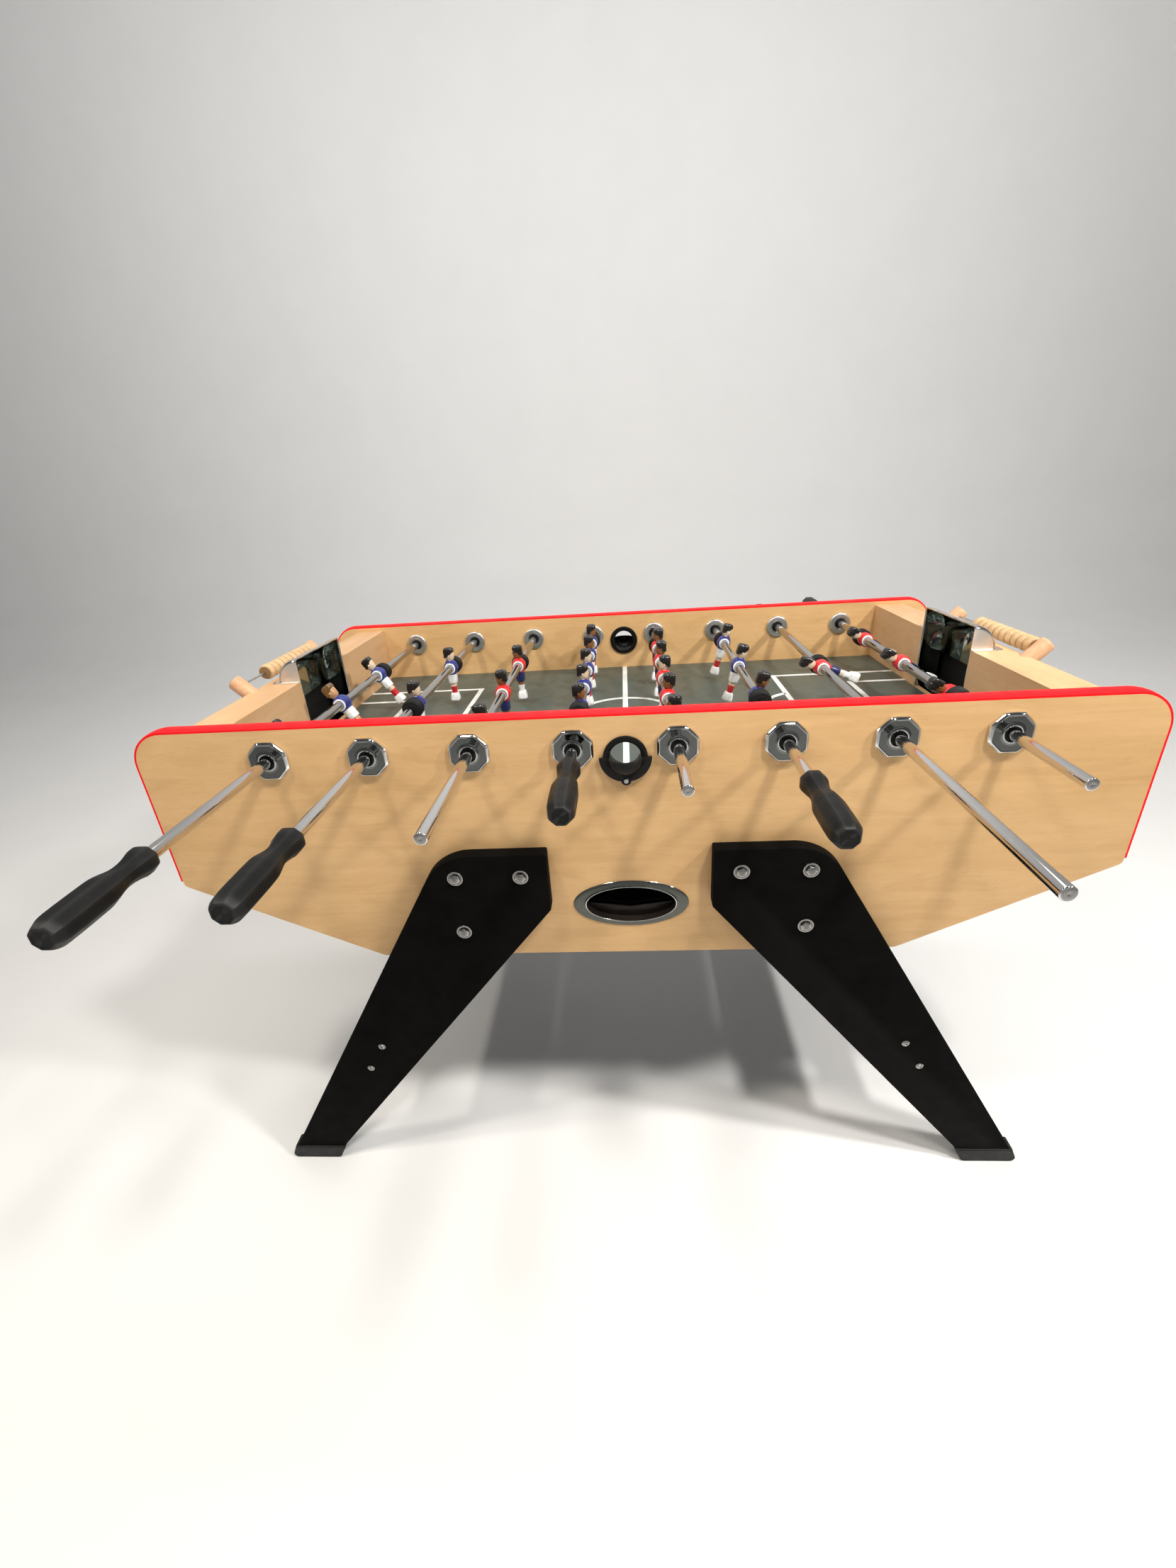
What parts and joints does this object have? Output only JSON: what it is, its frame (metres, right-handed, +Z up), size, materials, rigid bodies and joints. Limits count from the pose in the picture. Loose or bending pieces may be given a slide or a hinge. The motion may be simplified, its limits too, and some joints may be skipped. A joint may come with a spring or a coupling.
{
  "type": "table football table",
  "caption": "Free-standing table football table: cabinet on splayed board legs, sliding and turning rods with figures, goals, ball return and bead counters.",
  "frame": {"origin": "point on the floor under the middle of the cabinet, midway between the side panels and the end walls", "axes": "+X along the table to the right as seen from the near long side, +Y across it from the near side to the far side, +Z up"},
  "size_m": [1.4722, 1.4622, 0.94],
  "materials": {
    "maple_board": "pale maple laminate, satin",
    "red_moulding": "bright red domed edge moulding",
    "pitch_board": "dark grey-green printed laminate with white lines",
    "bright_chrome": "polished",
    "return_board": "dark painted board",
    "black_plastic": "moulded black plastic",
    "bolt_steel": "bright plated steel",
    "black_board": "black laminate",
    "foot_plastic": "black moulded shoe",
    "galvanised_steel": "bright galvanised",
    "bush_plastic": "black bearing plastic",
    "rod_steel": "chromed steel bar",
    "grip_plastic": "black grip worn grey at the end",
    "blue_team": "painted figures, blue shirts, white shorts",
    "red_team": "painted figures, red shirts, navy shorts",
    "bumper_rubber": "ribbed black rubber",
    "dowel_wood": "pinkish dowel",
    "wire_steel": "bright wire",
    "bead_wood": "pale turned wood"
  },
  "bodies": {
    "table": {"near_side_panel": "maple_board", "far_side_panel": "maple_board", "left_end_wall": "maple_board", "right_end_wall": "maple_board", "edge_trims": "red_moulding", "playfield": "pitch_board", "left_goal_hood": "bright_chrome", "right_goal_hood": "bright_chrome", "ball_return_boards": "return_board", "ball_outlet_bezels": "bright_chrome", "ball_entry_cups": "black_plastic", "ball_entry_rings": "black_plastic", "entry_cup_screws": "bolt_steel", "near_left_leg": "black_board", "near_right_leg": "black_board", "far_left_leg": "black_board", "far_right_leg": "black_board", "leg_feet": "foot_plastic", "leg_bolts": "bolt_steel", "leg_stretchers": "black_board", "stretcher_bolts": "bolt_steel", "outer_bearing_flanges": "bright_chrome", "inner_bearing_rings": "galvanised_steel", "bearing_bushes": "bush_plastic", "score_posts": "dowel_wood", "score_wires": "wire_steel"},
    "left_beads": {"left_score_beads": "bead_wood"},
    "right_beads": {"right_score_beads": "bead_wood"},
    "bumpers_1": {"bumpers_1": "bumper_rubber"},
    "rod_1": {"rod_1": "rod_steel", "handle_1": "grip_plastic", "players_1": "blue_team"},
    "bumpers_2": {"bumpers_2": "bumper_rubber"},
    "rod_2": {"rod_2": "rod_steel", "handle_2": "grip_plastic", "players_2": "blue_team"},
    "bumpers_3": {"bumpers_3": "bumper_rubber"},
    "rod_3": {"rod_3": "rod_steel", "handle_3": "grip_plastic", "players_3": "red_team"},
    "bumpers_4": {"bumpers_4": "bumper_rubber"},
    "rod_4": {"rod_4": "rod_steel", "handle_4": "grip_plastic", "players_4": "blue_team"},
    "bumpers_5": {"bumpers_5": "bumper_rubber"},
    "rod_5": {"rod_5": "rod_steel", "handle_5": "grip_plastic", "players_5": "red_team"},
    "bumpers_6": {"bumpers_6": "bumper_rubber"},
    "rod_6": {"rod_6": "rod_steel", "handle_6": "grip_plastic", "players_6": "blue_team"},
    "bumpers_7": {"bumpers_7": "bumper_rubber"},
    "rod_7": {"rod_7": "rod_steel", "handle_7": "grip_plastic", "players_7": "red_team"},
    "bumpers_8": {"bumpers_8": "bumper_rubber"},
    "rod_8": {"rod_8": "rod_steel", "handle_8": "grip_plastic", "players_8": "red_team"}
  },
  "joints": [
    {"name": "left_beads_slide", "type": "slide", "parent": "table", "child": "left_beads", "axis": [0, 1, 0], "range_m": [-0.0746, 0]},
    {"name": "right_beads_slide", "type": "slide", "parent": "table", "child": "right_beads", "axis": [0, 1, 0], "range_m": [0, 0.0746]},
    {"name": "rod_1_slide", "type": "slide", "parent": "table", "child": "bumpers_1", "axis": [0, 1, 0], "range_m": [-0.0011, 0.2411]},
    {"name": "rod_1_turn", "type": "hinge", "parent": "bumpers_1", "child": "rod_1", "pos_m": [-0.525, 0, 0.86], "axis": [0, 1, 0], "continuous": true},
    {"name": "rod_2_slide", "type": "slide", "parent": "table", "child": "bumpers_2", "axis": [0, 1, 0], "range_m": [-0.1746, 0.2086]},
    {"name": "rod_2_turn", "type": "hinge", "parent": "bumpers_2", "child": "rod_2", "pos_m": [-0.375, 0, 0.86], "axis": [0, 1, 0], "continuous": true},
    {"name": "rod_3_slide", "type": "slide", "parent": "table", "child": "bumpers_3", "axis": [0, 1, 0], "range_m": [-0.0241, 0.2181]},
    {"name": "rod_3_turn", "type": "hinge", "parent": "bumpers_3", "child": "rod_3", "pos_m": [-0.225, 0, 0.86], "axis": [0, 1, 0], "continuous": true},
    {"name": "rod_4_slide", "type": "slide", "parent": "table", "child": "bumpers_4", "axis": [0, 1, 0], "range_m": [-0.1131, 0.0371]},
    {"name": "rod_4_turn", "type": "hinge", "parent": "bumpers_4", "child": "rod_4", "pos_m": [-0.075, 0, 0.86], "axis": [0, 1, 0], "continuous": true},
    {"name": "rod_5_slide", "type": "slide", "parent": "table", "child": "bumpers_5", "axis": [0, 1, 0], "range_m": [-0.0291, 0.1211]},
    {"name": "rod_5_turn", "type": "hinge", "parent": "bumpers_5", "child": "rod_5", "pos_m": [0.075, 0, 0.86], "axis": [0, 1, 0], "continuous": true},
    {"name": "rod_6_slide", "type": "slide", "parent": "table", "child": "bumpers_6", "axis": [0, 1, 0], "range_m": [-0.1381, 0.1041]},
    {"name": "rod_6_turn", "type": "hinge", "parent": "bumpers_6", "child": "rod_6", "pos_m": [0.225, 0, 0.86], "axis": [0, 1, 0], "continuous": true},
    {"name": "rod_7_slide", "type": "slide", "parent": "table", "child": "bumpers_7", "axis": [0, 1, 0], "range_m": [-0.0386, 0.3446]},
    {"name": "rod_7_turn", "type": "hinge", "parent": "bumpers_7", "child": "rod_7", "pos_m": [0.375, 0, 0.86], "axis": [0, 1, 0], "continuous": true},
    {"name": "rod_8_slide", "type": "slide", "parent": "table", "child": "bumpers_8", "axis": [0, 1, 0], "range_m": [-0.1031, 0.1391]},
    {"name": "rod_8_turn", "type": "hinge", "parent": "bumpers_8", "child": "rod_8", "pos_m": [0.525, 0, 0.86], "axis": [0, 1, 0], "continuous": true}
  ]
}
